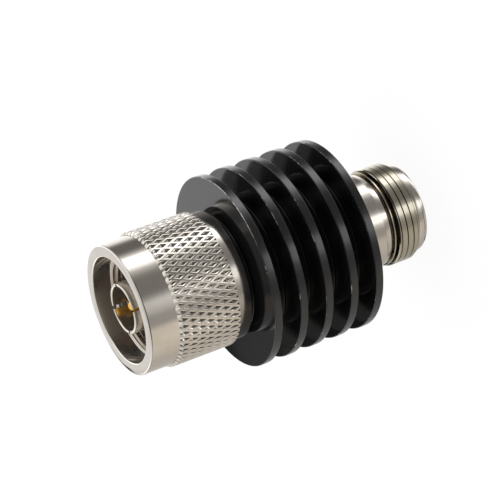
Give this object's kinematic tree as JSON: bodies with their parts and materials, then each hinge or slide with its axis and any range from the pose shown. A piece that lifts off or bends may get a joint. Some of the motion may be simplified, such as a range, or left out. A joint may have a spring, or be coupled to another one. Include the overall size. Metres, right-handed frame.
{
  "type": "rf attenuator",
  "caption": "Coaxial fixed attenuator with a knurled coupling nut on the plug end, a finned black heat sink and a threaded jack on the other end.",
  "frame": {"origin": "centre of the jack's face, which the part stands on", "axes": "+Z along the common axis of both connectors, from the jack towards the plug"},
  "size_m": [0.0305, 0.0304, 0.0509],
  "materials": {
    "nickel": "bright nickel plate on brass",
    "spring": "spring steel wire",
    "silicone": "soft silicone rubber",
    "fluoropolymer": "turned white fluoropolymer",
    "brass": "plain turned brass",
    "gold": "gold plate on brass",
    "black_anodised": "glossy black anodised",
    "ceramic": "white fired ceramic"
  },
  "bodies": {
    "attenuator": {"snap_ring": "spring", "mating_gasket": "silicone", "plug_shell": "nickel", "outer_contact": "nickel", "plug_bead": "fluoropolymer", "plug_bead_ring": "brass", "centre_pin": "gold", "heat_sink": "black_anodised", "carrier_upper": "brass", "carrier_lower": "brass", "attenuator_chip": "ceramic", "jack_shell": "nickel", "jack_bead": "fluoropolymer", "jack_bead_ring": "brass", "jack_contact": "gold"},
    "nut": {"coupling_nut": "nickel"}
  },
  "joints": [
    {"name": "nut_spin", "type": "hinge", "parent": "attenuator", "child": "nut", "pos_m": [0, 0, 0.0365], "axis": [0, 0, 1], "continuous": true}
  ]
}
